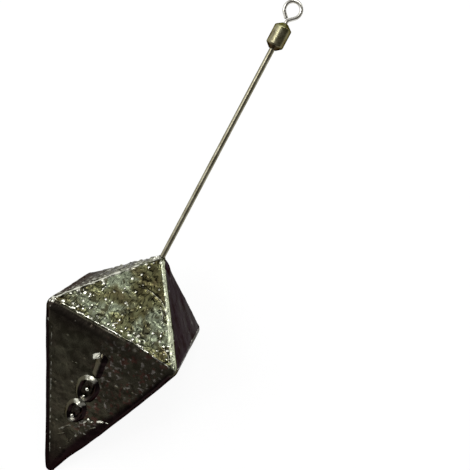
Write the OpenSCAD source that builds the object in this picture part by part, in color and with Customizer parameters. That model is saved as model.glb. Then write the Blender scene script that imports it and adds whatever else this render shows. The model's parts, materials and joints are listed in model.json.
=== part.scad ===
// Fishing sinker: a square lead double pyramid cast round a long wire stem,
// with a barrel swivel at the stem's end that carries a closed wire eye.
// It lies as it does when it is put down: on one long lower face, stem sloping up.

/* [Lead casting] */
// Side of the square waist, between its sharp corners
waist_side = 23.9; // [18:0.1:30]
// Height of the short pyramid above the waist
crown_h = 12.3; // [9:0.1:18]
// Height of the long pyramid below the waist
point_h = 35.5; // [28:0.1:50]
// Rounding of the four waist corners
waist_round = 1.8; // [0.7:0.05:2.2]
// Rounding of the lower tip
tip_round = 0.7; // [0.5:0.05:1]
// Rounding of the top, where the wire comes out
crown_round = 1; // [0.7:0.05:1.4]
// Thickness of the raised line left where the two mould halves meet
seam_t = 0.2; // [0.1:0.02:0.24]
// How far the raised line stands out of the rounded edges
seam_proud = 0.1; // [0.04:0.01:0.12]
// Diameter of the small lead collar round the wire, at its foot
collar_d = 2.3; // [1.8:0.1:3]
// Width of the collar's rim round the wire
collar_rim = 0.3; // [0.15:0.05:0.5]
// Height of the collar above the rounded top
collar_h = 0.3; // [0.1:0.05:0.6]

/* [Wire stem] */
// Diameter of the stem wire
stem_d = 0.9; // [0.7:0.05:1.1]
// Length of wire from the sharp top of the lead to the swivel
stem_reach = 38.1; // [20:0.1:60]
// Depth of the anchor eye's centre below the sharp top of the lead
anchor_depth = 17; // [12:0.5:22]
// Diameter of the anchor eye inside the lead, to the wire's middle
anchor_d = 5; // [3.5:0.1:7]
// Bend radius where the stem turns into the anchor eye
anchor_bend = 1; // [0.6:0.1:1.6]
// Gap that lead fills between the anchor eye's end and its neck
anchor_gap = 0.6; // [0.3:0.05:1]
// Gap between the cast lead and the wire that it grips
cast_gap = 0.02; // [0.01:0.005:0.04]

/* [Swivel barrel] */
// Outer diameter of the barrel
barrel_d = 2.9; // [2.6:0.05:3.6]
// Length of the barrel over both ends
barrel_len = 4.35; // [3.9:0.05:6]
// Height of each cone-shaped end, pressed in over the wires' heads
swage_h = 0.7; // [0.5:0.05:0.9]
// Rounding of the edge between the barrel's side and its cones
rim_round = 0.3; // [0.15:0.05:0.4]
// Wall of the barrel's side
barrel_wall = 0.42; // [0.32:0.02:0.48]
// Length of the hole through each end
neck_len = 0.6; // [0.45:0.05:0.75]
// Width of the flat lip round each end hole
neck_lip = 0.12; // [0.06:0.02:0.2]
// Gap between a wire and the end hole that it turns in
run_gap = 0.05; // [0.02:0.01:0.08]

/* [Wire heads] */
// Gap between a head and the barrel's inner wall
head_side_gap = 0.18; // [0.1:0.02:0.24]
// Gap between a head and the end that holds it in
head_end_gap = 0.08; // [0.04:0.01:0.12]
// Thickness of the flat part of each head
head_t = 0.45; // [0.3:0.05:0.6]

/* [Swivel eye] */
// Diameter of the eye's wire
eye_wire_d = 0.6; // [0.45:0.05:0.75]
// Diameter of the eye, to the wire's middle
eye_d = 2.66; // [2.2:0.02:4]
// Straight wire between the barrel and the first bend
eye_neck = 0.3; // [0.15:0.05:0.8]
// Bend radius at the foot of the eye
eye_bend = 0.5; // [0.4:0.05:0.8]
// Gap between the eye's cut end and its own foot
eye_gap = 0.04; // [0.02:0.01:0.1]
// Lean of both eyes' two legs away from the stem's line
leg_lean = 47; // [40:1:55]
// How much thicker a bent stretch of wire is than a straight one, all round
bend_swell = 0.004; // [0.003:0.001:0.006]
// Length of each straight end that lies inside the bent stretch it meets
bend_lap = 0.04; // [0.02:0.01:0.05]

/* [Hidden] */
lead_colour = [0.27, 0.28, 0.24];
stem_colour = [0.56, 0.52, 0.38];
barrel_colour = [0.60, 0.55, 0.33];
eye_colour = [0.78, 0.77, 0.72];
ball_facets = 32;
wire_facets = 48;
barrel_facets = 96;
rim_steps = 5;

// Heights and slopes of the sharp double pyramid, its lower tip at zero
lead_h = point_h + crown_h;
waist_half = waist_side / 2;
point_slope = atan2(waist_half, point_h);
crown_slope = atan2(waist_half, crown_h);
// The long lower face that it rests on, from the sharp tip to the waist
rest_len = norm([waist_half, point_h]);
// A triangle's middle lies at two thirds of its height
rest_middle_share = 2 / 3;

// Centres of the balls that touch the sharp faces from inside
tip_ball_z = tip_round / sin(point_slope);
crown_ball_z = lead_h - crown_round / sin(crown_slope);
waist_ball_z = (lead_h * tan(crown_slope) + waist_round / cos(point_slope) - waist_round / cos(crown_slope))
    / (tan(point_slope) + tan(crown_slope));
waist_ball_x = waist_ball_z * tan(point_slope) - waist_round / cos(point_slope);

// Heights of the swivel on the stem's line
barrel_z = lead_h + stem_reach;
barrel_end_z = barrel_z + barrel_len;

// Barrel radii, and how its cones rise for each step inwards
barrel_r = barrel_d / 2;
cavity_r = barrel_r - barrel_wall;
stem_hole_r = stem_d / 2 + run_gap;
eye_hole_r = eye_wire_d / 2 + run_gap;
head_r = cavity_r - head_side_gap;
cone_rise = swage_h / (barrel_r - stem_hole_r - neck_lip);

// Points of a rounded corner at p between points a and b, for a fillet radius r
function corner(a, p, b, r, steps) =
    let (
        to_a = (a - p) / norm(a - p),
        to_b = (b - p) / norm(b - p),
        half = acos(to_a * to_b) / 2,
        middle = p + (to_a + to_b) / norm(to_a + to_b) * r / sin(half),
        from = p + to_a * r / tan(half) - middle,
        to = p + to_b * r / tan(half) - middle,
        turn = 180 - 2 * half
    )
    [for (i = [0 : steps])
        middle + (from * sin(turn * (1 - i / steps)) + to * sin(turn * i / steps)) / sin(turn)];

// The stem's own line stands up along Z from the sharp tip; this lays it down
module laid() {
    translate([-rest_len * rest_middle_share, 0, 0])
        rotate([0, 90 - point_slope, 0])
            children();
}

// The rounded double pyramid, its balls grown by the given amount
module rounded_pyramids(grow = 0) {
    hull() {
        translate([0, 0, tip_ball_z]) sphere(r = tip_round + grow, $fn = ball_facets);
        translate([0, 0, crown_ball_z]) sphere(r = crown_round + grow, $fn = ball_facets);
        for (x = [-waist_ball_x, waist_ball_x], y = [-waist_ball_x, waist_ball_x])
            translate([x, y, waist_ball_z]) sphere(r = waist_round + grow, $fn = ball_facets);
    }
}

// A slab on the mould's parting plane, which runs through two opposite corners
module seam_slab() {
    rotate([0, 0, 45])
        translate([-waist_side, -seam_t / 2, 0])
            cube([2 * waist_side, seam_t, lead_h]);
}

// Wire bent by a turn towards -X about a pin, from the origin, where it runs along Z
module bend(wire_d, bend_r, turn) {
    translate([-bend_r, 0, 0])
        rotate([90, 0, 0])
            rotate_extrude(angle = turn, $fn = barrel_facets)
                translate([bend_r, 0]) circle(d = wire_d + 2 * bend_swell, $fn = wire_facets);
}

// Carries what follows to the far end of such a bend
module past_bend(bend_r, turn) {
    translate([bend_r * cos(turn) - bend_r, 0, bend_r * sin(turn)])
        rotate([0, -turn, 0])
            children();
}

// Straight leg that brings an eye's middle back over the stem's line after the foot's bend
function first_leg(eye_r, foot_bend) =
    (eye_r * cos(leg_lean) + foot_bend * cos(leg_lean) - foot_bend) / sin(leg_lean);

// Straight leg back towards the foot, which stops the given gap short of the first leg's side
function last_leg(eye_r, wire_r, gap) =
    eye_r / tan(leg_lean) - (wire_r + gap + wire_r * abs(cos(2 * leg_lean))) / sin(2 * leg_lean);

// Height of the eye's centre above the start of its first bend
function eye_rise(eye_r, foot_bend) =
    (foot_bend + eye_r) * sin(leg_lean) + first_leg(eye_r, foot_bend) * cos(leg_lean);

// A teardrop eye: one leg leans out, the wire goes round, and the cut end comes back to the foot
module closed_eye(wire_d, eye_r, foot_bend, gap) {
    leg = first_leg(eye_r, foot_bend);
    end_leg = last_leg(eye_r, wire_d / 2 + bend_swell, gap);
    round_turn = 180 + 2 * leg_lean;
    mirror([1, 0, 0]) {
        bend(wire_d, foot_bend, leg_lean);
        past_bend(foot_bend, leg_lean) {
            translate([0, 0, -bend_lap])
                cylinder(d = wire_d, h = leg + 2 * bend_lap, $fn = wire_facets);
            translate([0, 0, leg])
                mirror([1, 0, 0]) {
                    bend(wire_d, eye_r, round_turn);
                    past_bend(eye_r, round_turn)
                        translate([0, 0, -bend_lap])
                            cylinder(d = wire_d, h = end_leg + bend_lap, $fn = wire_facets);
                }
        }
    }
}

// Head and shank in one turning; the barrel's end face lies at zero and the head behind it
module headed_shank(wire_d, reach) {
    wire_r = wire_d / 2;
    cone_z = -neck_len - head_end_gap;
    flat_z = cone_z - (head_r - wire_r) * cone_rise;
    rotate_extrude($fn = wire_facets)
        polygon([
            [0, flat_z - head_t],
            [head_r, flat_z - head_t],
            [head_r, flat_z],
            [wire_r, cone_z],
            [wire_r, reach + bend_lap],
            [0, reach + bend_lap]
        ]);
}

// Straight run of the stem from the barrel's end face to the anchor eye's first bend
stem_run = stem_reach + anchor_depth - eye_rise(anchor_d / 2, anchor_bend);

// The stem's buried end, drawn from the barrel's end face down; the gap makes room round it
module stem_anchor(gap = 0) {
    translate([0, 0, barrel_z])
        rotate([180, 0, 45])
            translate([0, 0, stem_run])
                closed_eye(stem_d + 2 * gap, anchor_d / 2, anchor_bend, anchor_gap - 2 * gap);
}

// The casting: rounded pyramids, seam line and collar, with the room that the wire takes
module lead_weight() {
    color(lead_colour)
        laid()
            difference() {
                union() {
                    rounded_pyramids();
                    intersection() {
                        rounded_pyramids(seam_proud);
                        seam_slab();
                    }
                    translate([0, 0, crown_ball_z])
                        cylinder(
                            d1 = collar_d,
                            d2 = stem_d + 2 * collar_rim,
                            h = crown_round + collar_h,
                            $fn = wire_facets
                        );
                }
                stem_anchor(cast_gap);
                translate([0, 0, barrel_z - stem_run])
                    cylinder(r = stem_d / 2 + cast_gap, h = stem_run, $fn = wire_facets);
            }
}

// The stem: a head held in the barrel, a long straight wire and an anchor eye inside the lead
module stem_wire() {
    color(stem_colour)
        laid() {
            translate([0, 0, barrel_z])
                rotate([180, 0, 45])
                    headed_shank(stem_d, stem_run);
            stem_anchor();
        }
}

// The barrel: a short tube whose two ends are pressed into cones over the heads
module swivel_barrel() {
    low_lip = [stem_hole_r + neck_lip, 0];
    low_rim = [barrel_r, swage_h];
    high_rim = [barrel_r, barrel_len - swage_h];
    high_lip = [eye_hole_r + neck_lip, barrel_len];
    color(barrel_colour)
        laid()
            translate([0, 0, barrel_z])
                rotate_extrude($fn = barrel_facets)
                    polygon(concat(
                        [low_lip],
                        corner(low_lip, low_rim, high_rim, rim_round, rim_steps),
                        corner(low_rim, high_rim, high_lip, rim_round, rim_steps),
                        [
                            high_lip,
                            [eye_hole_r, barrel_len],
                            [eye_hole_r, barrel_len - neck_len],
                            [cavity_r, barrel_len - neck_len - (cavity_r - eye_hole_r) * cone_rise],
                            [cavity_r, neck_len + (cavity_r - stem_hole_r) * cone_rise],
                            [stem_hole_r, neck_len],
                            [stem_hole_r, 0]
                        ]
                    ));
}

// The eye: a head held in the barrel, a short neck and the ring that the line is tied to
module swivel_eye() {
    color(eye_colour)
        laid()
            translate([0, 0, barrel_end_z])
                rotate([0, 0, -90]) {
                    headed_shank(eye_wire_d, eye_neck);
                    translate([0, 0, eye_neck])
                        closed_eye(eye_wire_d, eye_d / 2, eye_bend, eye_gap);
                }
}

lead_weight();
stem_wire();
swivel_barrel();
swivel_eye();
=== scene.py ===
"""Looks of a cast lead fishing sinker that lies on its side, with its wire stem and barrel swivel."""
import json
import math

import bpy
import numpy as np
from mathutils import Matrix, Vector


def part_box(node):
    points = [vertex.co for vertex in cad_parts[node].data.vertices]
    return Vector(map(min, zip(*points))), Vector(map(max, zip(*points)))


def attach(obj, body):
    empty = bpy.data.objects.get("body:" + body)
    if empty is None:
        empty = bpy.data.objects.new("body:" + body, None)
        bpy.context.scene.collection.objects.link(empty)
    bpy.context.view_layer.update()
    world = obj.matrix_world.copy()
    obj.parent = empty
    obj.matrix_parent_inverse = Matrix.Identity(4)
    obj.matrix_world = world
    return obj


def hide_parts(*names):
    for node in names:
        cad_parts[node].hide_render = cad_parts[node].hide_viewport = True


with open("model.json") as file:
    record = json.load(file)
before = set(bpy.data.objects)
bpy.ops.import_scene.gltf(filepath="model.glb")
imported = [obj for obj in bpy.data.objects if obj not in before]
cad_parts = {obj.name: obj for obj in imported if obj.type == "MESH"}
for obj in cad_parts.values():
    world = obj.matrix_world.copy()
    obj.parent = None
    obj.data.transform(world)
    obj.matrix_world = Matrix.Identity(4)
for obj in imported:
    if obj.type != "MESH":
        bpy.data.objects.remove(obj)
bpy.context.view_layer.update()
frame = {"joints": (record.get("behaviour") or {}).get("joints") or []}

# The stem's line
# Everything is cast, bent or turned about one straight line. It runs from the lead's sharp
# lower tip up through the stem to the swivel, and the swivel's own joint gives it.

mm = 0.001
swivel_from_tip = 85.9 * mm
swivel_joint = next(joint for joint in frame["joints"] if joint["name"] == "barrel_spin")
along = np.array(swivel_joint["axis"])
across = np.array([0.0, 1.0, 0.0])
above = np.cross(along, across)
sharp_tip = np.array(swivel_joint["pos_m"]) - swivel_from_tip * along


def lay(up, side, on):
    """Places in the frame: the sharp tip, plus up times above, side times across and on times along."""
    up, side, on = np.broadcast_arrays(up, side, on)
    return sharp_tip + up[..., None] * above + side[..., None] * across + on[..., None] * along


# Camera
# The photograph looks almost straight down from a hand's breadth above the table, with the
# lens of a phone held a little askew.

camera_place = Vector((13.946, -10.720, 122.636)) * mm
camera_aim = Vector((31.456, -8.711, 0.0)) * mm
camera_roll = math.radians(22.457)
camera_lens = 48.580


def into_scene(name, data):
    """A new object that shows this data, linked into the scene."""
    thing = bpy.data.objects.new(name, data)
    bpy.context.scene.collection.objects.link(thing)
    return thing


camera_data = bpy.data.cameras.new("camera")
camera_data.lens = camera_lens
camera_data.sensor_width = 36.0
camera_data.clip_start = 5 * mm
camera_data.clip_end = 20.0
camera = into_scene("camera", camera_data)
camera_turn = (camera_place - camera_aim).to_track_quat("Z", "Y").to_matrix().to_4x4()
camera.matrix_world = Matrix.Translation(camera_place) @ camera_turn @ Matrix.Rotation(camera_roll, 4, "Z")
bpy.context.scene.camera = camera

# Lead casting
# A square double pyramid of about 100 g, poured in a two-part mould round the stem's buried
# eye. It keeps the mould's parting line on two opposite edges, flow wrinkles, pits, and a
# small meniscus where it froze against the wire.

waist_half = 11.95 * mm
waist_on = 35.5 * mm
crown_on = 47.8 * mm
tip_round = 1.0 * mm
waist_round = 1.8 * mm
crown_round = 1.0 * mm
corner_on = np.array([2, 5, 20, 31, 34.4, 35.0, 36.3, 39.0, 46.4]) * mm
corner_round = np.array([0.8, 0.55, 0.75, 0.9, 1.35, 1.45, 1.05, 0.55, 0.50]) * mm
shoulder_turn = math.radians(53)
meniscus_pull_on = 47.22 * mm
meniscus_pull_out = 0.52 * mm
meniscus_out = 0.50 * mm
meniscus_on = 47.50 * mm
side_columns = (150, 56, 46, 56)
corner_columns = 21
tip_rows = 12
low_rows = 90
waist_rows = 26
crown_rows = 92
top_rows = 6
climb_rows = 8
crown_crowding = 1.15

point_slope = math.atan2(waist_half, waist_on)
crown_slope = math.atan2(waist_half, crown_on - waist_on)
tip_ball_on = tip_round / math.sin(point_slope)
waist_ball_on = (
    crown_on * math.tan(crown_slope)
    + waist_round / math.cos(point_slope)
    - waist_round / math.cos(crown_slope)
) / (math.tan(point_slope) + math.tan(crown_slope))
waist_ball_out = waist_ball_on * math.tan(point_slope) - waist_round / math.cos(point_slope)
crown_ball_on = crown_on - crown_round / math.sin(crown_slope)


def random_swell(places, size, seed):
    """Smooth random heights from -1 to 1: one random value for each corner of a lattice of
    cubes of this size, and between corners the eight nearest, weighted by eased distance."""
    cell = places / size
    low = np.floor(cell).astype(int)
    ease = cell - low
    ease = ease * ease * (3 - 2 * ease)
    table = np.random.default_rng(seed).uniform(-1, 1, (64, 64, 64))
    height = np.zeros(places.shape[:-1])
    for corner in np.ndindex(2, 2, 2):
        at = (low + corner) % 64
        share = np.where(np.array(corner, bool), ease, 1 - ease).prod(axis=-1)
        height += share * table[at[..., 0], at[..., 1], at[..., 2]]
    return height


def nearest_seed(places, size, seed):
    """Distance from each place to the nearest of a field of scattered seeds, one in each
    cube of this size, as a share of the size; and that seed's own random number."""
    cell = places / size
    low = np.floor(cell).astype(int)
    table = np.random.default_rng(seed).uniform(0, 1, (32, 32, 32, 4))
    best = np.full(places.shape[:-1], 9.0)
    number = np.zeros(places.shape[:-1])
    for step in np.ndindex(3, 3, 3):
        corner = low + step - 1
        at = corner % 32
        seeds = table[at[..., 0], at[..., 1], at[..., 2]]
        far = np.linalg.norm(corner + seeds[..., :3] - cell, axis=-1)
        number = np.where(far < best, seeds[..., 3], number)
        best = np.minimum(best, far)
    return best, number


def fade(value, start, end):
    """0 at start, 1 at end, and an S-shaped rise between."""
    share = np.clip((value - start) / (end - start), 0, 1)
    return share * share * (3 - 2 * share)


def bell(value, middle, reach):
    """A bell curve over value: exp(-x^2), x being how many reaches it is from the middle."""
    return np.exp(-(((value - middle) / reach) ** 2))


def from_line(places, line):
    """Distance from each place to the nearest point of a line of straight runs."""
    best = np.full(places.shape[:-1], np.inf)
    for start, end in zip(np.array(line[:-1]), np.array(line[1:])):
        run = end - start
        share = np.clip((places - start) @ run / (run @ run), 0, 1)
        best = np.minimum(best, np.linalg.norm(places - start - share[..., None] * run, axis=-1))
    return best


def straight_run(before, after, share):
    """Points between the last one of an arc and the first one of the next, at these shares of the way."""
    return [start[-1] + (end[0] - start[-1]) * share for start, end in zip(before, after)]


def casting_profile():
    """The casting's outline through the middle of its faces, from tip to wire, as three arrays:
    how far along the line, how far out, and the radius of the square's corners there.
    Arcs touch the straight faces at tip, waist and top; a curve with one control point climbs the wire."""
    tip_turn = np.radians(np.linspace(-88, -math.degrees(point_slope), tip_rows))
    waist_turn = np.linspace(-point_slope, crown_slope, waist_rows)
    top_turn = np.linspace(crown_slope, shoulder_turn, top_rows)
    tip_arc = [tip_ball_on + tip_round * np.sin(tip_turn), tip_round * np.cos(tip_turn)]
    waist_arc = [
        waist_ball_on + waist_round * np.sin(waist_turn),
        waist_ball_out + waist_round * np.cos(waist_turn),
    ]
    top_arc = [crown_ball_on + crown_round * np.sin(top_turn), crown_round * np.cos(top_turn)]
    low_face = straight_run(tip_arc, waist_arc, np.linspace(0, 1, low_rows)[1:-1])
    crown_face = straight_run(waist_arc, top_arc, np.linspace(0, 1, crown_rows)[1:-1] ** crown_crowding)
    share = np.linspace(0, 1, climb_rows)[1:]
    first, pull, last = (1 - share) ** 2, 2 * share * (1 - share), share**2
    climb = [
        first * top_arc[0][-1] + pull * meniscus_pull_on + last * meniscus_on,
        first * top_arc[1][-1] + pull * meniscus_pull_out + last * meniscus_out,
    ]
    on, out = np.concatenate([tip_arc, low_face, waist_arc, crown_face, top_arc, climb], axis=1)
    rounding = np.interp(on, corner_on, corner_round)
    rounding += (out - rounding) * fade(on, crown_ball_on - 0.6 * mm, crown_ball_on + 0.7 * mm)
    return on, out, np.minimum(rounding, out)


def square_ring(out, rounding):
    """A ring round the line for each row: a square of half side out whose corners are arcs of radius
    rounding. The upper side, which carries the number and the flow marks, has the most columns."""
    turn = np.linspace(0, math.pi / 2, corner_columns + 1)[:-1]
    flat, radius = (out - rounding)[:, None], rounding[:, None]
    first, second = [], []
    for columns in side_columns:
        side = np.linspace(-1, 1, columns + 1)[:-1]
        first.append(np.concatenate([flat + radius + 0 * side, flat + radius * np.cos(turn)], axis=1))
        second.append(np.concatenate([flat * side, flat + radius * np.sin(turn)], axis=1))
    up = np.concatenate([first[0], -second[1], -first[2], second[3]], axis=1)
    sideways = np.concatenate([second[0], first[1], -second[2], -first[3]], axis=1)
    return up, sideways


def surface_normals(points):
    """Unit normals of a grid whose columns close round: the cross product of its two directions."""
    by_column = np.roll(points, -1, axis=1) - np.roll(points, 1, axis=1)
    by_row = np.gradient(points, axis=0)
    normals = np.cross(by_row, by_column)
    return normals / np.maximum(np.linalg.norm(normals, axis=-1, keepdims=True), 1e-12)


def closed_skin(name, grids, finish, masks=None):
    """One closed mesh for each grid of points, all in one object. Columns close round. Rows
    close round too, or where a grid comes with two poles, its first and last rows are fanned to them.
    A shell whose volume comes out negative is turned, so that every face points outwards."""
    corners, faces, start = [], [], 0
    for points, poles in grids:
        rows, columns = points.shape[:2]
        index = np.arange(rows * columns).reshape(rows, columns)
        beside = np.roll(index, -1, axis=1)
        last = rows if poles is None else rows - 1
        ahead, ahead_beside = np.roll(index, -1, axis=0), np.roll(beside, -1, axis=0)
        quads = np.stack([index, beside, ahead_beside, ahead], axis=-1)[:last].reshape(-1, 4)
        flat = points.reshape(-1, 3)
        tris = np.zeros((0, 3), int)
        if poles is not None:
            flat = np.concatenate([flat, poles])
            low = np.full(columns, rows * columns)
            tris = np.concatenate([
                np.stack([beside[0], index[0], low], axis=-1),
                np.stack([index[-1], beside[-1], low + 1], axis=-1),
            ])
        halves = np.concatenate([quads[:, [0, 1, 2]], quads[:, [0, 2, 3]], tris])
        a, b, c = (flat[halves[:, i]] - flat.mean(axis=0) for i in range(3))
        if np.einsum("ij,ij->i", a, np.cross(b, c)).sum() < 0:
            quads, tris = quads[:, ::-1], tris[:, ::-1]
        corners.append(flat)
        faces += (quads + start).tolist() + (tris + start).tolist()
        start += len(flat)
    mesh = bpy.data.meshes.new(name)
    mesh.from_pydata(np.concatenate(corners).tolist(), [], faces)
    mesh.polygons.foreach_set("use_smooth", np.ones(len(mesh.polygons), bool))
    for mask, values in (masks or {}).items():
        mesh.attributes.new(mask, "FLOAT", "POINT").data.foreach_set("value", values.astype(np.float32))
    mesh.materials.append(finish)
    mesh.update()
    return into_scene(name, mesh)


class Value:
    """One value of a finish that changes over the surface. A sum on it adds Math nodes."""

    def __init__(self, finish, socket):
        self.finish, self.socket = finish, socket

    def sum(self, operation, first, second=0.0):
        return self.finish.add("ShaderNodeMath", {"operation": operation}, {0: first, 1: second})

    def __add__(self, other):
        return self.sum("ADD", self, other)

    def __sub__(self, other):
        return self.sum("SUBTRACT", self, other)

    def __rsub__(self, other):
        return self.sum("SUBTRACT", other, self)

    def __mul__(self, other):
        return self.sum("MULTIPLY", self, other)

    __radd__ = __add__
    __rmul__ = __mul__


class Finish:
    """The node tree of a material or of the world, and the ways to add nodes to it."""

    def __init__(self, owner):
        self.owner = owner
        owner.use_nodes = True
        self.tree = owner.node_tree
        self.tree.nodes.clear()

    def add(self, kind, settings=None, inputs=None, outlet=0):
        """Adds a node. Its settings are set first, then the values or links of its sockets."""
        node = self.tree.nodes.new(kind)
        for name, setting in (settings or {}).items():
            setattr(node, name, setting)
        for name, value in (inputs or {}).items():
            if isinstance(value, Value):
                self.tree.links.new(value.socket, node.inputs[name])
            else:
                node.inputs[name].default_value = value
        return Value(self, node.outputs[outlet]) if node.outputs else None

    def places(self):
        """Where a point of the surface is, in millimetres."""
        here = self.add("ShaderNodeTexCoord", outlet="Object")
        return self.vector("SCALE", here, Scale=1 / mm)

    def vector(self, operation, first, second=None, outlet="Vector", **named):
        """A Vector Math node on one or two inputs, and on any that are given by name."""
        inputs = {0: first, **named} if second is None else {0: first, 1: second, **named}
        return self.add("ShaderNodeVectorMath", {"operation": operation}, inputs, outlet)

    def noise(self, where, size, detail=2.0, rough=0.5, bend=0.0, shift=None, outlet=0):
        """Cloudy noise from 0 to 1 whose patches are about this many millimetres across. A shift
        takes it from another part of the same field."""
        inputs = {
            "Vector": self.vector("ADD", where, shift) if shift else where,
            "Scale": 1 / size,
            "Detail": detail,
            "Roughness": rough,
            "Distortion": bend,
        }
        return self.add("ShaderNodeTexNoise", inputs=inputs, outlet=outlet)

    def ramp(self, value, low, high, start=0.0, end=1.0):
        """Rises in an S from start, where the value is low, to end, where it is high."""
        settings = {"interpolation_type": "SMOOTHSTEP"}
        inputs = {"Value": value, "From Min": low, "From Max": high, "To Min": start, "To Max": end}
        return self.add("ShaderNodeMapRange", settings, inputs)

    def blend(self, share, first, second):
        """The first colour where the share is 0, and the second where it is 1."""
        settings = {"data_type": "RGBA"}
        return self.add("ShaderNodeMix", settings, {0: share, 6: first, 7: second}, outlet=2)

    def mask(self, name):
        """A mask that the mesh carries."""
        return self.add("ShaderNodeAttribute", {"attribute_name": name}, outlet="Fac")

    def metal(self, colour, roughness, relief, depth, edge_tint):
        """Bare metal with a relief of this depth in millimetres. Its constants are set on the shader."""
        bump = self.add("ShaderNodeBump", inputs={"Height": relief, "Distance": depth * mm})
        inputs = {
            "Base Color": colour,
            "Roughness": roughness,
            "Metallic": 1.0,
            "Specular Tint": (*edge_tint, 1.0),
            "Normal": bump,
        }
        shader = self.add("ShaderNodeBsdfPrincipled", inputs=inputs)
        self.add("ShaderNodeOutputMaterial", inputs={"Surface": shader})
        return self.owner


def lead_finish():
    """Old cast lead: dark and glossy, clouded olive, grey-green, rust and purple. Its bright specks and worn
    edges are partly painted highlights, and its near-black grime is partly painted shade."""
    olive = (0.070, 0.066, 0.030, 1)
    light_olive = (0.098, 0.102, 0.052, 1)
    ochre = (0.070, 0.053, 0.027, 1)
    grey_green = (0.165, 0.188, 0.132, 1)
    warm_grey = (0.094, 0.082, 0.068, 1)
    maroon = (0.066, 0.030, 0.034, 1)
    chalk = (0.42, 0.42, 0.335, 1)
    purple = (0.058, 0.044, 0.058, 1)
    umber = (0.042, 0.034, 0.016, 1)
    dark_olive = (0.030, 0.026, 0.012, 1)
    rust = (0.150, 0.055, 0.045, 1)
    ash = (0.460, 0.430, 0.390, 1)
    # Near black for the grime mask: mostly painted shade on the figures' far flanks, inside the noughts and
    # below the crown's line.
    grime_and_shade_black = (0.017, 0.0110, 0.0115, 1)
    # Near-white bare lead: worn metal, and also painted highlights on specks, lines, lumps and veins.
    bare_lead_and_glint = (0.80, 0.80, 0.68, 1)
    rubbed_rib = (0.46, 0.49, 0.35, 1)
    lead = Finish(bpy.data.materials.new("cast_lead"))
    here = lead.places()
    crown, side, back = lead.mask("crown"), lead.mask("side"), lead.mask("back")
    edge, seam, crowd = lead.mask("edge"), lead.mask("seam"), lead.mask("crowd")
    bloom, upper, pepper = lead.mask("bloom"), lead.mask("upper"), lead.mask("pepper")
    cloud = lead.noise(here, 3.8, detail=2.5, bend=0.6)
    patch = lead.noise(here, 4.2, detail=3.0, bend=0.6, shift=(31.0, 7.0, 3.0))
    stain = lead.noise(here, 3.8, detail=2.5, bend=0.5, shift=(5.0, 41.0, 17.0))
    mottle = lead.noise(here, 1.4, detail=1.0, rough=0.4, bend=0.6, shift=(2.0, 13.0, 29.0))
    worms = lead.noise(lead.vector("MULTIPLY", here, (1.0, 1.7, 1.0)), 1.35, detail=0.6, rough=0.4, bend=1.0)
    grain = lead.noise(here, 0.40, detail=3.0, rough=0.6)
    ash_spots = lead.noise(here, 0.75, detail=1.0, shift=(9.0, 2.0, 4.0))
    rust_spots = lead.noise(here, 0.95, detail=1.0, shift=(1.0, 22.0, 6.0))

    colour = lead.blend(lead.ramp(cloud, 0.38, 0.62), olive, light_olive)
    colour = lead.blend(lead.ramp(stain, 0.52, 0.64) * 0.55, colour, ochre)
    bloomed = lead.ramp(patch + bloom * 0.20, 0.52, 0.70) * (0.08 + crown * 0.72)
    colour = lead.blend(bloomed, colour, grey_green)
    colour = lead.blend((1 - crown) * 0.60, colour, warm_grey)
    colour = lead.blend(back * 0.85, colour, lead.blend(upper, maroon, chalk))
    colour = lead.blend(side * 0.88, colour, purple)
    colour = lead.blend(lead.mask("brown") * 0.55, colour, umber)
    darkened = lead.ramp(mottle, 0.52, 0.34) * (0.32 + crown * 0.53 - side * 0.65)
    colour = lead.blend(darkened, colour, dark_olive)
    colour = lead.blend(lead.ramp(rust_spots, 0.54, 0.66) * pepper * 0.6, colour, rust)
    ashen = lead.ramp(ash_spots, 0.56, 0.68) * pepper * lead.ramp(patch, 0.36, 0.56)
    colour = lead.blend(ashen * 0.8, colour, ash)
    # Painted shade, partly grime: near black where the grime mask is high.
    colour = lead.blend(lead.mask("grime_and_shade"), colour, grime_and_shade_black)

    bend = lead.noise(here, 0.9, detail=1.0, outlet="Color")
    bent = lead.vector("ADD", here, lead.vector("SCALE", bend, Scale=0.45))
    # Specks: bare-lead domes that are partly painted glints.
    speck = 0.0
    for size, shift, spread in ((0.66, 0.0, 0.7), (1.00, 7.3, 1.1), (1.45, 3.1, 1.0)):
        shifted = lead.vector("ADD", bent, (shift, shift, shift))
        inputs = {"Vector": shifted, "Scale": 1 / size}
        from_seed = lead.add("ShaderNodeTexVoronoi", inputs=inputs)
        seed_colour = lead.add("ShaderNodeTexVoronoi", inputs=inputs, outlet="Color")
        number = lead.add("ShaderNodeSeparateColor", inputs={0: seed_colour})
        chance = (0.016 + (crown - side) * 0.12 + crowd * 0.42) * spread
        dome = lead.ramp(from_seed, 0.36, 0.10) * lead.ramp(number - chance, 0.03, 0.0) * (1 - side * 0.55)
        speck = lead.add("ShaderNodeMath", {"operation": "MAXIMUM"}, {0: speck, 1: dome})
    # Painted highlights: worn edges, lines, beads, lumps and the specks get near-white bare lead, as wear and
    # as glints.
    worn_and_lit = lead.ramp(edge + (grain - 0.5) * 0.35, 0.30, 0.80)
    glint_specks = lead.ramp(speck, 0.25, 0.85) * (0.22 + crown * 0.60)
    glint_and_wear = lead.add("ShaderNodeMath", {"operation": "MAXIMUM"}, {0: glint_specks, 1: worn_and_lit})
    colour = lead.blend(glint_and_wear, colour, bare_lead_and_glint)
    colour = lead.blend(seam, colour, rubbed_rib)

    roughness = lead.ramp(mottle, 0.3, 0.7, 0.13, 0.22) + bloomed * 0.08 + seam * 0.10
    roughness = roughness + (1 - crown) * 0.06 + back * (1 - upper) * 0.28
    uneven = 0.15 + crown * 0.85 + back * 0.9 - side * 0.97
    relief = (grain * 0.03 + mottle * 0.55 + worms) * uneven + speck * 0.30
    return lead.metal(colour, roughness, relief, 0.16, edge_tint=(0.34, 0.335, 0.33))


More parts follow.
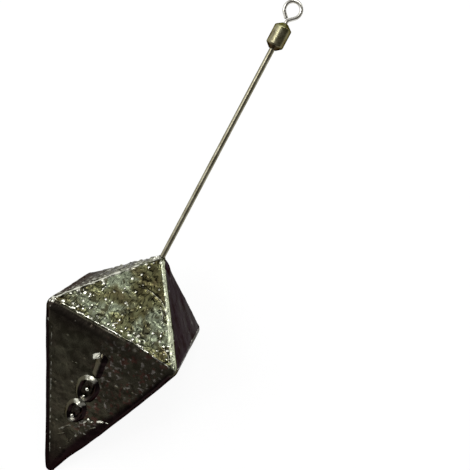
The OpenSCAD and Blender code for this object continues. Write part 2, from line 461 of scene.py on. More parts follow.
on, out, rounding = casting_profile()
up, sideways = square_ring(out, rounding)
on = on[:, None] + 0 * up
local = np.stack([up, sideways, on], axis=-1)
casting = lay(up, sideways, on)
normals = surface_normals(casting)


def ripple(size, seed):
    """A random swell over the casting, for a size in millimetres."""
    return random_swell(local, size * mm, seed)


def blob(place, reach):
    """A bell over the distance from a place on the casting, in millimetres."""
    return bell(np.linalg.norm(local / mm - place, axis=-1), 0, reach)


def oval(middle_side, middle_on, reach):
    """A soft oval patch: a bell over the distance from its middle, in millimetres, in which one
    along the line counts for 1.4."""
    return bell(np.hypot(sideways / mm - middle_side, (on / mm - middle_on) * 1.4), 0, reach)


# Places on the casting. The crown starts at a wavering line just above the waist. The mould's
# halves met where parting is 0: at the upper face's right edge, and at the back edge opposite.
half_side = out[:, None]
line_on = waist_ball_on + waist_round * math.sin(crown_slope)
line_sink = 0.06 * mm
line_dip = 0.45 * mm
line_waver = 0.07 * mm
line_drop = line_dip * fade(-sideways, 3 * mm, 10 * mm) * (up > 0)
line_on = line_on - line_sink - line_drop + line_waver * ripple(1.6, 15)
to_line = np.abs(on - line_on)
past_parting = (up + sideways) / math.sqrt(2)
parting = np.abs(past_parting)
other_edge = np.abs(up - sideways) / math.sqrt(2)
long_edges = np.abs(np.abs(up) - np.abs(sideways))
below_wire = fade(on, meniscus_on, meniscus_on - 0.8 * mm)
is_crown = fade(on, line_on - 0.25 * mm, line_on + 0.05 * mm)
is_side = fade(-sideways - np.abs(up), 0.2 * mm, 0.5 * mm) * is_crown
is_top_face = up > np.abs(sideways)
is_back = (up < 0) & (sideways > 0)

# Relief in millimetres, outwards: swells, grit, pits and bumps, and wrinkles that follow the flow.
broad_swell = 0.05
small_swell = 0.035
coarse_grit = 0.032
fine_grit = 0.010
pit_step = 1.3 * mm
pit_depth = 0.11
bump_height = 0.10
wrinkle_step = 0.95 * mm
wrinkle_height = 0.05
swell = broad_swell * ripple(6, 1) + small_swell * ripple(2.3, 2)
rough_share = 0.30 + 0.70 * is_crown - 0.85 * is_side
grit = coarse_grit * ripple(1.0, 3) + fine_grit * ripple(0.55, 4)
from_pit, pit_number = nearest_seed(local, pit_step, 5)
pits = -pit_depth * fade(from_pit, 0.30, 0.10) * (pit_number < 0.22)
bumps = bump_height * fade(from_pit, 0.28, 0.08) * (pit_number > 0.74)
course = on + 0.18 * sideways + ripple(4.0, 6) * 0.7 * mm
flow_line = 0.5 + 0.5 * np.sin(2 * math.pi * course / wrinkle_step)
flow_share = fade(ripple(3.6, 7), -0.1, 0.5) * fade(parting, 0.4 * mm, 1.0 * mm)
wrinkles = wrinkle_height * (flow_line**3 - 0.3) * flow_share * (0.25 + 0.75 * is_crown - 0.90 * is_side)

# The parting line: a fine ridge, a half-round rib beside it on the crown, torn flash at the back.
parting_height = 0.04
parting_reach = 0.20 * mm
rib_height = 0.13
lip_height = 0.07
lip_reach = 0.12 * mm
flash_height = 0.30
flash_reach = 0.26 * mm
back_lump_height = 0.14
broken = 0.8 + 0.2 * ripple(1.2, 8)
rib_width = (0.60 + 0.28 * fade(on, 44 * mm, 36 * mm)) * mm
rib_share = np.clip(past_parting / rib_width, 0, 1)
is_rib = is_crown * (sideways < 0) * below_wire
parting_line = parting_height * bell(parting, 0, parting_reach) * broken * below_wire
parting_line += rib_height * np.sqrt(rib_share * (1 - rib_share)) * is_rib * (0.9 + 0.1 * broken)
lip = lip_height * bell(to_line, 0, lip_reach) * (0.6 + 0.4 * ripple(0.6, 9))
torn = ripple(0.75, 10) + 0.7 * ripple(0.37, 25)
torn = fade(torn, -0.3, 0.7) * (0.35 + 0.65 * fade(ripple(2.4, 26), -0.4, 0.3))
flash = flash_height * bell(parting, 0, flash_reach) * torn * (is_back * is_crown * below_wire)
back_lumps = back_lump_height * ripple(0.8, 19) * fade(on, 36.5 * mm, 41 * mm)
back_lumps = back_lumps * is_crown * fade(sideways - up, 0, 0.6 * mm)

# The side faces bow, the back edge is worn in, and beads crowd the crown's corners and its line.
right_bow = 0.10 * bell(on, 25 * mm, 6 * mm) - 0.38 * bell(on, 6 * mm, 5 * mm)
left_bow = 0.12 * bell(on, 6 * mm, 5 * mm) - 0.10 * bell(on, 28 * mm, 8 * mm)
bow = right_bow * fade(-sideways, 0.3 * half_side, 0.95 * half_side)
bow += left_bow * fade(sideways, 0.3 * half_side, 0.95 * half_side)
near_corner = bell(other_edge, 0, 3.0 * mm) * fade(sideways, 3.5 * mm, 7 * mm)
far_corner = 0.8 * fade(-sideways, 4.5 * mm, 9 * mm) * is_top_face
above_line = 0.9 * bell(on, line_on, 1.6 * mm) * is_top_face
crowd = np.maximum.reduce([near_corner, far_corner, above_line, np.abs(back_lumps) / 0.10]) * is_crown
bead_step = 0.85 * mm
bead_height = 0.08
from_bead, bead_number = nearest_seed(local, bead_step, 23)
bead_chance = (0.05 + 0.85 * crowd) * is_crown * (1 - is_side) * (1 - is_rib * (past_parting < rib_width))
beads = fade(from_bead, 0.42, 0.12) * (bead_number < bead_chance)
worn_in = 0.50 * bell(on, 39.5 * mm, 2.8 * mm) + 0.45 * bell(on, 36.2 * mm, 1.6 * mm)
relief = (swell + (grit + pits + bumps) * rough_share + wrinkles) * below_wire
relief += parting_line + lip + flash + bow + (bead_height * beads + back_lumps) * below_wire
relief -= worn_in * fade(parting, 3.5 * mm, 0.3 * mm) * is_back

# Lumps at the wire and at the waist's corner, as a place, a reach and a height, and thin veins
# where the lead ran cold. All are in millimetres up, sideways and on.
cold_lumps = [
    ((0.40, 1.05, 47.30), 0.50, 0.42),
    ((0.64, 0.42, 47.14), 0.26, 0.16),
    ((1.05, -0.57, 46.72), 0.58, 0.36),
    ((1.63, -1.77, 46.13), 0.28, 0.18),
    ((-0.9, -1.1, 46.4), 1.30, 0.34),
    ((11.00, 10.94, 36.17), 0.34, 0.13),
    ((11.41, 10.64, 35.91), 0.30, 0.12),
    ((11.24, 11.17, 35.70), 0.27, 0.08),
]
cold_veins = [
    [
        (4.95, 0.68, 42.7), (4.97, -1.83, 42.69), (5.28, -3.69, 42.36),
        (5.8, -4.72, 41.83), (6.51, -5.62, 41.1),
    ],
    [(6.04, -4.18, 41.59), (6.7, -5.15, 40.9), (7.4, -5.43, 40.19), (7.76, -6.15, 39.81)],
    [(9.79, -7.82, 37.72), (10.34, -8.32, 37.16), (10.63, -9.15, 36.86), (11.18, -9.66, 36.3)],
]
lumps = 0 * on
for place, reach, height in cold_lumps:
    lump = blob(place, reach)
    relief += height * lump
    lumps = np.maximum(lumps, lump * (reach < 1))
vein_reach = 0.19
vein_height = 0.10
veins = 0 * on
for vein in cold_veins:
    veins = np.maximum(veins, bell(from_line(local / mm, vein), 0, vein_reach))
relief += vein_height * veins * (0.8 + 0.4 * ripple(0.7, 22))
casting = casting + normals * (relief * mm)[..., None]

# The casting keeps inside its solid's box.
lead_low, lead_high = (np.array(corner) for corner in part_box("lead_weight"))
casting = np.clip(casting, lead_low, lead_high)
poles = lay(0, 0, np.array([tip_ball_on - tip_round, meniscus_on]))

# Masks for the finish, first of the bright places: worn bare metal that also stands in for highlights, so
# partly painted highlights.
bright_line = 0.095 * mm
waist_corner = (11.4, 11.4, 35.9)
line_beads = 0.42 + 0.58 * fade(ripple(0.6, 16), -0.2, 0.35)
to_top = fade(on, 40 * mm, 44 * mm)
ridge_width = (0.25 + 0.27 * to_top) * mm
ridge_dashes = (0.62 + 0.38 * fade(ripple(0.7, 24), -0.3, 0.3)) * is_crown
ridge_dashes *= 1 - 0.25 * to_top
dots_from_edge = 0.92 * mm + 0.016 * on
edge_dots = bell(up - sideways, dots_from_edge, 0.13 * mm) * (up > 0) * (sideways > 0) * (1 - is_crown)
edge_dots *= fade(ripple(0.38, 18), -0.45, 0.25)
edge_dots *= fade(on, 4 * mm, 8 * mm) * fade(on, 35 * mm, 33.5 * mm)
rib_top = fade(past_parting, -0.10 * mm, 0.04 * mm)
rib_top *= fade(past_parting, rib_width, rib_width - 0.14 * mm) * is_rib

# The grime mask darkens the tip and the long edges, and paints shade below the crown's line and inside the
# noughts.
near_tip = fade(on, 17 * mm, 3 * mm)
band_width = (1.9 + 1.7 * fade(on, 27 * mm, 14 * mm)) * mm
left_band = fade(long_edges, 1.05 * mm, 0.85 * mm)
right_band = fade(long_edges, band_width, 0.45 * band_width)
dark_edges = np.where(sideways > 0, left_band, right_band)
dark_edges = dark_edges * fade(on, waist_ball_on + 0.6 * mm, waist_ball_on - 1 * mm)
under_line = 0.75 * fade(on, line_on - 0.2 * mm, line_on - 0.5 * mm) * fade(sideways, -8 * mm, 6 * mm)
under_line *= fade(on, waist_ball_on - 2.5 * mm, waist_ball_on)
nought_middles = [(25.41, -0.05), (19.62, 0.21)]
shade_half_run = 2.3
shade_half_side = 1.35
run = on / math.cos(point_slope)
in_noughts = 0 * on
for middle_run, middle_side in nought_middles:
    by_run = (run / mm - middle_run) / shade_half_run
    by_side = (sideways / mm - middle_side) / shade_half_side
    from_middle = np.hypot(by_run, by_side)
    in_noughts = np.maximum(in_noughts, 0.6 * fade(from_middle, 1.0, 0.7) * is_top_face)

# Cloudy patches of the crown, as how far sideways, how far on and a reach.
bloom_patches = [(3.8, 41.7, 1.8), (2.3, 38.4, 1.9), (-3.3, 40.5, 1.8), (-2.7, 37.4, 1.8), (-6.3, 38.6, 1.4)]
brown_patch = (0.2, 40.4, 1.9)
bloom = -1.1 * fade(sideways, 3 * mm, 8 * mm) - 0.6 * fade(on, 42 * mm, 45 * mm)
for bloom_patch in bloom_patches:
    bloom = np.maximum(bloom, oval(*bloom_patch))
brown = np.maximum(oval(*brown_patch) * is_top_face, 0.75 * fade(sideways, 5 * mm, 8 * mm))
pepper = fade(-sideways, -2.5 * mm, 3 * mm) * is_top_face * (1 - is_crown) * fade(on, 9 * mm, 17 * mm)
masks = {
    "crown": is_crown,
    "side": is_side,
    "back": fade(sideways - np.abs(up), 0.2 * mm, 0.5 * mm) * is_crown,
    "grime_and_shade": np.maximum.reduce([near_tip, dark_edges, under_line, in_noughts]),
    "pepper": pepper,
    "crowd": crowd,
    "bloom": bloom,
    "brown": brown * is_crown,
    "upper": fade(on, 36.5 * mm, 42 * mm),
    "edge": np.maximum.reduce([
        bell(to_line, 0, bright_line) * line_beads,
        bell(other_edge, 0, ridge_width) * ridge_dashes,
        0.9 * fade(beads, 0.35, 0.85),
        0.5 * blob(waist_corner, 0.70),
        0.85 * fade(back_lumps, 0.045, 0.10),
        0.85 * fade(flash, 0.06, 0.14),
        0.68 * edge_dots,
        0.85 * fade(lumps, 0.3, 0.8),
        0.46 * fade(veins, 0.3, 0.9),
    ]),
    "seam": rib_top,
}
masks = {name: np.append(values, [0.0, 0.0]) for name, values in masks.items()}
cast_lead = lead_finish()
lead = closed_skin("lead_casting", [(casting, poles)], cast_lead, masks)
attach(lead, "sinker")
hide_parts("lead_weight")

# Raised number
# The mould's engraved weight, 100, stands out of the upper long face as ridges of lead, one
# figure below the other from the waist towards the tip. Cold runs left a few thin creases.

face_on = math.sin(point_slope) * above + math.cos(point_slope) * along
face_out = math.cos(point_slope) * above - math.sin(point_slope) * along
ridge_sink = 0.05 * mm
ridge_columns = 26
ridge_waver = 0.14
flank_power = 1.3
nought_power = 2.3


def on_face(run, side, lift):
    """Places on the upper long face: run from the sharp tip, side across it, and lift out of it."""
    run, side, lift = np.broadcast_arrays(run, side, lift)
    return sharp_tip + run[..., None] * face_on + side[..., None] * across + lift[..., None] * face_out


def ridge(run, side, width, height, end_share, seed, polish=0.0):
    """A ridge of lead along a line on the face. Across the line its lift is the height times
    1 - |x|^1.3, x running from -1 to 1 over the width, so both flanks are nearly straight.
    Where the line runs towards the waist the ridge is half as high.
    Over the end share of its length the height falls to nothing. An end share of 0 closes the line.
    Flanks that face the waist, and faintly those that face the left, are painted bright, partly as wear and
    partly as highlight; those that face away from the left, as seen from the tip, are painted dark as shade.
    Inside a closed line there is less painted highlight and more painted shade.
    Polish is how bright the rest is rubbed."""
    closed = end_share == 0
    ring = np.stack([run, side], axis=-1)
    if closed:
        heading = np.roll(ring, -1, axis=0) - np.roll(ring, 1, axis=0)
    else:
        heading = np.gradient(ring, axis=0)
    heading /= np.linalg.norm(heading, axis=-1, keepdims=True)
    waver = 1 + ridge_waver * random_swell(np.stack([run, side, 0 * run], axis=-1), 0.9 * mm, seed)
    wide, high = width / 2 * waver, height * waver * (1 - 0.5 * heading[:, 0] ** 2)
    if not closed:
        to_end = 1 - np.abs(np.linspace(-1, 1, len(run)))
        wide = wide * np.sqrt(np.clip(1 - (1 - to_end) ** 8, 0.02, 1))
        high = high * np.clip(to_end / end_share, 0.02, 1)
    turn = np.linspace(0, 2 * math.pi, ridge_columns, endpoint=False)
    is_top = np.sin(turn) > 0
    reach = wide[:, None] * np.cos(turn)
    lift = high[:, None] * (1 - np.abs(np.cos(turn)) ** flank_power) * is_top
    lift -= ridge_sink * (1 - 0.5 * is_top)
    points = on_face(run[:, None] - heading[:, 1:] * reach, side[:, None] + heading[:, :1] * reach, lift)
    flank = np.sign(np.cos(turn)) * (np.abs(np.cos(turn)) > 0.1)
    to_waist, to_left = -heading[:, 1:] * flank, heading[:, :1] * flank
    inside = 0.7 * closed * (flank > 0)
    patchy = 0.50 + 0.40 * fade(random_swell(points, 0.8 * mm, seed + 20), -0.4, 0.5)
    # Painted highlight and painted shade on the flanks; the highlight is partly wear.
    worn_and_lit = fade(to_waist, 0.35, 0.9) * patchy * (1 - 0.65 * inside)
    worn_and_lit = np.maximum(worn_and_lit, 0.26 * fade(to_left, 0.4, 0.9) * (1 - inside))
    worn_and_lit = np.maximum(worn_and_lit, polish * patchy) * is_top
    painted_shade = np.maximum(fade(-to_left, -0.1, 0.5), 1.3 * inside * fade(to_left, 0.2, 0.8)) * is_top
    ends = None if closed else points[[0, -1]].mean(axis=1)
    return points, ends, worn_and_lit, painted_shade


def nought(middle_run, middle_side, half_run, half_side, width, height, seed):
    """A nought: a ridge round a slightly squared ellipse, |x|^2.3 + |y|^2.3 = 1. All in millimetres."""
    turn = np.linspace(0, 2 * math.pi, 96, endpoint=False)
    across_turn, along_turn = np.abs(np.sin(turn)) ** nought_power, np.abs(np.cos(turn)) ** nought_power
    squared = (along_turn + across_turn) ** (-1 / nought_power)
    run = (middle_run + half_run * squared * np.cos(turn)) * mm
    side = (middle_side + half_side * squared * np.sin(turn)) * mm
    return ridge(run, side, width * mm, height * mm, 0, seed)


def drop(middle_run, middle_side, radius, height):
    """A round drop of lead: the upper part of an ellipsoid that sits on the face, its top painted bright as a
    highlight. All in millimetres.
    """
    rise = np.radians(np.linspace(-20, 82, 10))[:, None]
    turn = np.linspace(0, 2 * math.pi, 20, endpoint=False)
    run = (middle_run + radius * np.cos(rise) * np.cos(turn)) * mm
    side = (middle_side + radius * np.cos(rise) * np.sin(turn)) * mm
    points = on_face(run, side, height * np.sin(rise) * mm)
    ends = on_face(middle_run * mm, middle_side * mm, height * mm * np.array([-0.36, 1.0]))
    worn_and_lit = fade(np.sin(rise), 0.3, 0.8) + 0 * turn
    return points, ends, worn_and_lit, 0 * worn_and_lit


def crease(places, width, height, end_share, seed, polish=0.0):
    """A ridge through these places on the face. All in millimetres."""
    run, side = np.array(places).T * mm
    share = np.linspace(0, len(run) - 1, 60)
    knots = np.arange(len(run))
    run, side = np.interp(share, knots, run), np.interp(share, knots, side)
    return ridge(run, side, width * mm, height * mm, end_share, seed, polish)


figures = [
    crease([(33.7, -0.15), (31.2, -0.38), (28.4, -0.58)], 1.95, 0.85, 0.22, 11),
    crease([(32.1, 1.30), (32.75, 0.72), (33.45, 0.00)], 1.15, 0.95, 0.5, 12, polish=0.9),
    nought(*nought_middles[0], 2.40, 1.42, 1.25, 0.85, 13),
    nought(*nought_middles[1], 2.15, 1.25, 1.22, 0.80, 14),
    drop(25.50, -0.11, 0.40, 0.50),
    drop(23.75, -0.07, 0.31, 0.50),
    drop(18.35, 0.35, 0.42, 0.45),
    crease([(17.65, -1.88), (19.21, -2.33), (18.98, -3.02), (19.25, -3.55)], 0.36, 0.26, 0.4, 15, 0.75),
    crease([(19.55, -3.80), (20.16, -4.40), (20.49, -5.06)], 0.46, 0.34, 0.4, 18, polish=1.1),
    crease([(20.50, -5.15), (20.68, -5.85)], 0.34, 0.20, 0.5, 19, polish=0.5),
    crease([(13.4, 1.6), (14.3, 1.0), (15.2, 0.45), (15.9, -0.2)], 0.42, 0.20, 0.5, 16, polish=0.62),
    crease([(12.1, 1.4), (12.9, 0.7), (13.6, 0.1)], 0.42, 0.18, 0.5, 17, polish=0.55),
]
strokes = [
    [(11.8, -0.75), (12.8, -0.70)],
    [(12.4, -1.15), (13.3, -1.35)],
    [(13.8, -1.60), (14.5, -1.75)],
    [(14.8, -2.10), (15.7, -1.70)],
    [(17.1, -3.20), (18.5, -4.20)],
]
figures += [crease(stroke, 0.32, 0.20, 0.5, seed, polish=0.5) for seed, stroke in enumerate(strokes, 50)]
figure_masks = {}
for mask, index in (("edge", 2), ("grime_and_shade", 3)):
    values = [np.append(figure[index], np.zeros(0 if figure[1] is None else 2)) for figure in figures]
    figure_masks[mask] = np.concatenate(values)
number = closed_skin("raised_number", [figure[:2] for figure in figures], cast_lead, figure_masks)
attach(number, "sinker")

# Wire stem
# Hard brass-coated wire. Its head turns in the barrel, and its other end is bent into a
# closed eye that the lead is cast round. Drawing left fine lines along it.

stem_r = 0.45 * mm
barrel_length = 4.35 * mm
barrel_r = 1.45 * mm
barrel_wall = 0.42 * mm
barrel_neck = 0.6 * mm
swage_rise = 0.7 * mm
running_gap = 0.05 * mm
neck_lip = 0.12 * mm
head_side_gap = 0.18 * mm
head_end_gap = 0.08 * mm
head_thick = 0.45 * mm
head_r = barrel_r - barrel_wall - head_side_gap
cone_rise = swage_rise / (barrel_r - stem_r - running_gap - neck_lip)
anchor_depth = 17.0 * mm
anchor_r = 2.5 * mm
anchor_bend = 1.0 * mm
anchor_gap = 0.6 * mm
leg_lean = math.radians(47)
wire_uneven = 0.004
wire_rim = 0.35
shank_step = 0.6 * mm


def bent_line(runs):
    """The middle of a wire bent in one plane: how far out, how far on, its heading and its length so far.
    Each run is a length, a turn and a count of steps. The heading is the running sum of the turns,
    and the place the running sum of each step's chord along its middle heading."""
    lengths, turns, counts = (np.array(column) for column in zip(*runs))
    step = np.repeat(lengths / counts, counts)
    turn = np.repeat(turns / counts, counts)
    heading = np.cumsum(turn)
    middle = heading - turn / 2
    chord = step * np.sinc(turn / (2 * math.pi))
    out = np.append(0, np.cumsum(chord * np.sin(middle)))
    on = np.append(0, np.cumsum(chord * np.cos(middle)))
    return out, on, np.append(0, heading), np.append(0, np.cumsum(step))


def headed_eye_wire(radius, shank, eye_r, foot_bend, gap):
    """A wire that starts with a coned head, runs straight, leans out, goes round an eye and
    comes back to its own foot. Returns its middle line and its radius at each point."""
    cone = (head_r - radius) * cone_rise
    first_leg = (eye_r * math.cos(leg_lean) - foot_bend * (1 - math.cos(leg_lean))) / math.sin(leg_lean)
    reach = radius + gap + radius * abs(math.cos(2 * leg_lean))
    last_leg = eye_r / math.tan(leg_lean) - reach / math.sin(2 * leg_lean)
    round_turn = math.pi + 2 * leg_lean
    rim = radius * wire_rim
    straight = barrel_neck + head_end_gap + shank
    runs = [
        (rim, 0, 8),
        (head_thick - rim, 0, 4),
        (cone, 0, 12),
        (straight, 0, max(8, int(straight / shank_step))),
        (foot_bend * leg_lean, leg_lean, 14),
        (first_leg, 0, 8),
        (eye_r * round_turn, -round_turn, 84),
        (last_leg - rim, 0, 6),
        (rim, 0, 8),
    ]
    out, on, heading, run = bent_line(runs)
    size = np.interp(run, [0, head_thick, head_thick + cone], [head_r, head_r, radius])
    to_end = np.minimum(np.minimum(run, run[-1] - run), rim)
    size -= rim - np.sqrt(np.maximum(rim**2 - (rim - to_end) ** 2, 0))
    return out, on - (head_thick + cone + head_end_gap + barrel_neck), heading, size


def tube(middle, heading, sideways, size, columns, seed):
    """A wire's skin: a circle stands square to the middle line at each point. The wire is uneven
    by up to 0.4% of its radius."""
    turn = np.linspace(0, 2 * math.pi, columns, endpoint=False)
    beside = np.cross(heading, sideways)
    ring = np.cos(turn)[:, None] * beside[:, None, :] + np.sin(turn)[:, None] * sideways
    points = middle[:, None, :] + size[:, None, None] * ring
    uneven = 1 + wire_uneven * random_swell(points, 1.5 * mm, seed)
    points = middle[:, None, :] + (size[:, None] * uneven)[..., None] * ring
    return points, middle[[0, -1]]


def wire_skin(line, start, outward, onward, columns, seed):
    """The skin of a headed wire that is bent towards outward and starts off along onward."""
    out, on, heading, size = line
    middle = start + out[:, None] * outward + on[:, None] * onward
    course = np.sin(heading)[:, None] * outward + np.cos(heading)[:, None] * onward
    return tube(middle, course, np.cross(outward, onward), size, columns, seed)


def on_axes(finish, here, *axes):
    """How far along each of these unit vectors a place is."""
    return [finish.vector("DOT_PRODUCT", here, tuple(axis), outlet="Value") for axis in axes]


def drawn_wire_finish():
    """Brass-coated wire gone dull: olive-tan, with draw lines along it and darker stains."""
    olive_tan, pale_tan = (0.26, 0.24, 0.165, 1), (0.38, 0.36, 0.265, 1)
    drawn_brown, nick_brown = (0.12, 0.10, 0.05, 1), (0.09, 0.07, 0.04, 1)
    wire = Finish(bpy.data.materials.new("stem_brass"))
    here = wire.places()
    high, aside, far = on_axes(wire, here, above, across, along)
    streak = wire.add("ShaderNodeCombineXYZ", inputs={0: high, 1: aside, 2: far * 0.04})
    lines = wire.noise(streak, 0.11, detail=3.0, rough=0.6)
    stain = wire.noise(here, 2.4, detail=4.0, rough=0.65)
    nick = wire.noise(here, 0.35)
    colour = wire.blend(wire.ramp(stain, 0.38, 0.66), olive_tan, pale_tan)
    colour = wire.blend(wire.ramp(lines, 0.50, 0.74) * 0.5, colour, drawn_brown)
    colour = wire.blend(wire.ramp(nick, 0.64, 0.74) * 0.5, colour, nick_brown)
    roughness = wire.ramp(stain, 0.3, 0.7, 0.26, 0.34) + wire.ramp(lines, 0.4, 0.8) * 0.06
    return wire.metal(colour, roughness, lines * 0.6 + nick * 0.4, 0.0015, edge_tint=(0.12, 0.11, 0.08))


stem_reach = swivel_from_tip - crown_on
anchor_out = anchor_r * math.cos(leg_lean) - anchor_bend * (1 - math.cos(leg_lean))
anchor_rise = (anchor_bend + anchor_r) * math.sin(leg_lean) + anchor_out / math.tan(leg_lean)
stem_straight = stem_reach + anchor_depth - anchor_rise
stem_line = headed_eye_wire(stem_r, stem_straight, anchor_r, anchor_bend, anchor_gap)
barrel_start = sharp_tip + swivel_from_tip * along
anchor_side = (across - above) / math.sqrt(2)
stem_skin = wire_skin(stem_line, barrel_start, anchor_side, -along, 28, 21)
stem = closed_skin("stem", [stem_skin], drawn_wire_finish())
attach(stem, "sinker")
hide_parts("stem_wire")

# Swivel barrel
# A short brass tube. Both its ends are pressed into cones over the wires' heads, which turn
# inside it with a little play.

eye_wire_r = 0.3 * mm
rim_round = 0.3 * mm
lip_round = 0.05 * mm
barrel_columns = 112
barrel_rows = 220
press_marks = 0.002
tip_place = float(np.dot(sharp_tip, along)) / mm


def rounded_outline(corners, radii, rows):
    """A closed outline through these corners, each rounded to its own radius by an arc that
    touches both its sides, and then spaced evenly along its length."""
    corners, radii = np.array(corners), np.array(radii)[:, None]
    before = np.roll(corners, 1, axis=0) - corners
    after = np.roll(corners, -1, axis=0) - corners
    before /= np.linalg.norm(before, axis=1, keepdims=True)
    after /= np.linalg.norm(after, axis=1, keepdims=True)
    half = np.arccos((before * after).sum(axis=1, keepdims=True)) / 2
    centre = before + after
    centre = corners + centre / np.linalg.norm(centre, axis=1, keepdims=True) * radii / np.sin(half)
    start = corners + before * radii / np.tan(half) - centre
    end = corners + after * radii / np.tan(half) - centre
    share = np.linspace(0, 1, 9)[:, None, None]
    sweep = math.pi - 2 * half
    arcs = centre + (start * np.sin(sweep * (1 - share)) + end * np.sin(sweep * share)) / np.sin(sweep)
    path = arcs.transpose(1, 0, 2).reshape(-1, 2)
    path = np.concatenate([path, path[:1]])
    run = np.append(0, np.cumsum(np.linalg.norm(np.diff(path, axis=0), axis=1)))
    even = np.linspace(0, run[-1], rows, endpoint=False)
    return np.interp(even, run, path[:, 0]), np.interp(even, run, path[:, 1])


def barrel_outline():
    """Outer wall, pressed cones, end holes and cavity, as one closed outline of out and on."""
    low_hole, high_hole = stem_r + running_gap, eye_wire_r + running_gap
    cavity = barrel_r - barrel_wall
    corners = [
        (low_hole + neck_lip, 0),
        (barrel_r, swage_rise),
        (barrel_r, barrel_length - swage_rise),
        (high_hole + neck_lip, barrel_length),
        (high_hole, barrel_length),
        (high_hole, barrel_length - barrel_neck),
        (cavity, barrel_length - barrel_neck - (cavity - high_hole) * cone_rise),
        (cavity, barrel_neck + (cavity - low_hole) * cone_rise),
        (low_hole, barrel_neck),
        (low_hole, 0),
    ]
    radii = [lip_round, rim_round, rim_round] + [lip_round] * (len(corners) - 3)
    return rounded_outline(corners, radii, barrel_rows)


def barrel_finish():
    """Dulled brass: olive, with fine turning lines round it, brown tarnish in patches, near black at the
    stem's end, green at the eye's end, and painted shade on the side that faces away from across."""
    olive_brass, pale_brass = (0.23, 0.205, 0.115, 1), (0.36, 0.34, 0.22, 1)
    green, tarnish = (0.24, 0.26, 0.08, 1), (0.15, 0.12, 0.09, 1)
    shaded, cone_brown, spot_brown = (0.105, 0.090, 0.036, 1), (0.034, 0.020, 0.010, 1), (0.08, 0.06, 0.02, 1)
    brass = Finish(bpy.data.materials.new("barrel_brass"))
    here = brass.places()
    aside, far = on_axes(brass, here, across, along)
    ring_inputs = {"W": far, "Scale": 9.0, "Detail": 3.0}
    rings = brass.add("ShaderNodeTexNoise", {"noise_dimensions": "1D"}, ring_inputs)
    cloud = brass.noise(here, 1.3, detail=4.0, rough=0.65, bend=0.5)
    spots = brass.noise(here, 0.5, detail=3.0, shift=(3.0, 8.0, 5.0))
    start = swivel_from_tip / mm + tip_place
    end = start + barrel_length / mm
    low_cone = brass.ramp(far, start + 0.9, start + 0.4)
    high_end = brass.ramp(far, end - 1.5, end - 0.4)
    # Painted shade: the side facing away from across is darker.
    shaded_side = brass.ramp(aside + (cloud - 0.5) * 0.8, 0.1, -0.9)
    colour = brass.blend(brass.ramp(cloud, 0.36, 0.66), olive_brass, pale_brass)
    colour = brass.blend(high_end * 0.5, colour, green)
    colour = brass.blend(brass.ramp(cloud, 0.54, 0.40) * 0.5, colour, tarnish)
    colour = brass.blend(shaded_side * 0.65, colour, shaded)
    colour = brass.blend(low_cone * 0.92, colour, cone_brown)
    colour = brass.blend(brass.ramp(spots, 0.60, 0.72) * 0.5, colour, spot_brown)
    roughness = brass.ramp(cloud, 0.35, 0.7, 0.22, 0.32) + brass.ramp(rings, 0.4, 0.7) * 0.06
    return brass.metal(colour, roughness, rings * 0.6 + spots * 0.25, 0.014, edge_tint=(0.16, 0.15, 0.10))


ring_out, ring_on = barrel_outline()
turn = np.linspace(0, 2 * math.pi, barrel_columns, endpoint=False)
wall = np.stack(
    [ring_out[:, None] * np.cos(turn), ring_out[:, None] * np.sin(turn), ring_on[:, None] + 0 * turn], axis=-1
)
is_outside = fade(ring_out, barrel_r - barrel_wall, barrel_r - barrel_wall / 2)[:, None]
pressed = 1 - press_marks * is_outside * (0.5 + 0.5 * random_swell(wall, 1.1 * mm, 31))
wall[..., :2] *= pressed[..., None]
barrel_skin = lay(wall[..., 0], wall[..., 1], wall[..., 2] + swivel_from_tip)
barrel = closed_skin("barrel_tube", [(barrel_skin, None)], barrel_finish())
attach(barrel, "barrel")
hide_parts("swivel_barrel")

# Line eye
# Bright nickel-plated wire, headed like the stem, that turns in the barrel's other end. It
# is bent round a pin until its cut end lies against its own foot.

eye_r = 1.33 * mm
eye_neck = 0.3 * mm
eye_bend = 0.5 * mm
eye_gap = 0.04 * mm


def nickel_finish():
    """Bright nickel plate, a little clouded, with scratches from the bending pin."""
    grey_nickel, bright_nickel = (0.60, 0.58, 0.51, 1), (0.80, 0.79, 0.73, 1)
    scratched = (0.22, 0.19, 0.12, 1)
    nickel = Finish(bpy.data.materials.new("eye_nickel"))
    here = nickel.places()
    cloud = nickel.noise(here, 1.1, detail=3.0, rough=0.6)
    scratch = nickel.noise(nickel.vector("MULTIPLY", here, (1.0, 5.0, 1.0)), 0.3, detail=3.0)
    colour = nickel.blend(nickel.ramp(cloud, 0.35, 0.65), grey_nickel, bright_nickel)
    colour = nickel.blend(nickel.ramp(scratch, 0.60, 0.72) * 0.5, colour, scratched)
    roughness = nickel.ramp(cloud, 0.3, 0.7, 0.08, 0.16)
    return nickel.metal(colour, roughness, scratch, 0.008, edge_tint=(0.12, 0.12, 0.11))


eye_line = headed_eye_wire(eye_wire_r, eye_neck, eye_r, eye_bend, eye_gap)
barrel_end = barrel_start + barrel_length * along
eye_skin = wire_skin(eye_line, barrel_end, -across, along, 32, 41)
eye = closed_skin("line_eye", [eye_skin], nickel_finish())
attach(eye, "eye")
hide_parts("swivel_eye")

# Table and studio light
# A matt white table, and softboxes placed so that the crown, its edges and the wires each catch
# one. In the metal the studio is dark grey overhead, pale on one side and white along the
# horizon. The camera itself sees a white backdrop.

floor_half = 8.0
sinker_middle = Vector((0.018, 0.0, 0.014))
lamp_distance = 0.6
board_glow = 1.07
glow_share = 0.86
white = (1.0, 1.0, 1.0, 1)
pale_wall = (0.85, 0.85, 0.85, 1)
dim_wall = (0.145, 0.140, 0.140, 1)


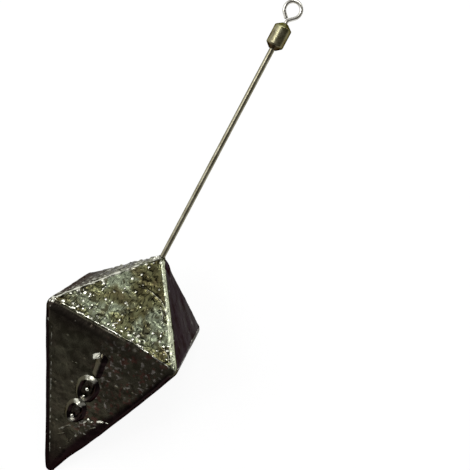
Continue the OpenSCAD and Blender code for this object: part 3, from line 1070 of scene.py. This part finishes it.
def floor_finish():
    """Matt white board with the faintest mottling. To the camera, and in the metal's gloss, most
    of its brightness is its own, so that it stays white and its shadow soft."""
    table = Finish(bpy.data.materials.new("table"))
    cloud = table.noise(table.places(), 40.0)
    colour = table.blend(cloud, (0.88, 0.88, 0.88, 1), (0.92, 0.92, 0.92, 1))
    board = table.add("ShaderNodeBsdfPrincipled", inputs={"Base Color": colour, "Roughness": 0.9})
    own = table.add("ShaderNodeEmission", inputs={"Color": white, "Strength": board_glow})
    rays = ("Is Camera Ray", "Is Glossy Ray", "Is Transmission Ray")
    seen = sum(table.add("ShaderNodeLightPath", outlet=ray) for ray in rays)
    shader = table.add("ShaderNodeMixShader", inputs={0: seen * glow_share, 1: board, 2: own})
    table.add("ShaderNodeOutputMaterial", inputs={"Surface": shader})
    return table.owner


floor_mesh = bpy.data.meshes.new("floor")
floor_corners = [(x * floor_half, y * floor_half, 0.0) for x, y in ((-1, -1), (1, -1), (1, 1), (-1, 1))]
floor_mesh.from_pydata(floor_corners, [], [(0, 1, 2, 3)])
floor_mesh.materials.append(floor_finish())
floor = into_scene("floor", floor_mesh)


def sky_direction(azimuth, elevation):
    """Unit vector at these angles in degrees: azimuth from +X towards +Y, elevation from the table."""
    turn, rise = math.radians(azimuth), math.radians(elevation)
    return Vector((math.cos(turn) * math.cos(rise), math.sin(turn) * math.cos(rise), math.sin(rise)))


def softbox(name, azimuth, elevation, width, height, power):
    """An area lamp on a dome round the sinker, facing its middle."""
    data = bpy.data.lights.new(name, "AREA")
    data.shape = "RECTANGLE"
    data.size, data.size_y, data.energy = width, height, power
    lamp = into_scene(name, data)
    direction = sky_direction(azimuth, elevation)
    turned = direction.to_track_quat("Z", "Y").to_matrix().to_4x4()
    lamp.matrix_world = Matrix.Translation(sinker_middle + direction * lamp_distance) @ turned


softbox("crown_softbox", 10, 41, 0.34, 0.24, 0.36)
softbox("window", 8, 61, 0.36, 0.147, 0.83)
softbox("side_softbox", 105, 50, 0.22, 0.30, 0.52)
softbox("streak_lamp", 111, 60, 0.05, 0.10, 0.19)
softbox("seam_strip", -24, 19, 0.24, 0.12, 0.22)
softbox("sparkle_lamp", 18, 55, 0.05, 0.05, 0.12)

studio = Finish(bpy.context.scene.world or bpy.data.worlds.new("studio"))
bpy.context.scene.world = studio.owner
look = studio.add("ShaderNodeTexCoord", outlet="Generated")
to_pale, to_dark, overhead = sky_direction(100, 28), sky_direction(190, 0), (0.0, 0.0, 1.0)
pale_side, dark_side, height = on_axes(studio, look, to_pale, to_dark, overhead)
horizon = studio.ramp(height, 0.125, 0.095) * studio.ramp(dark_side, 0.55, 0.15)
sky = studio.blend(studio.ramp(pale_side, 0.52, 0.92), dim_wall, pale_wall)
sky = studio.blend(horizon, sky, white)
sky = studio.blend(studio.add("ShaderNodeLightPath", outlet="Is Camera Ray"), sky, white)
glow = studio.add("ShaderNodeBackground", inputs={"Color": sky})
studio.add("ShaderNodeOutputWorld", inputs={"Surface": glow})

bpy.context.scene.view_settings.view_transform = "Standard"
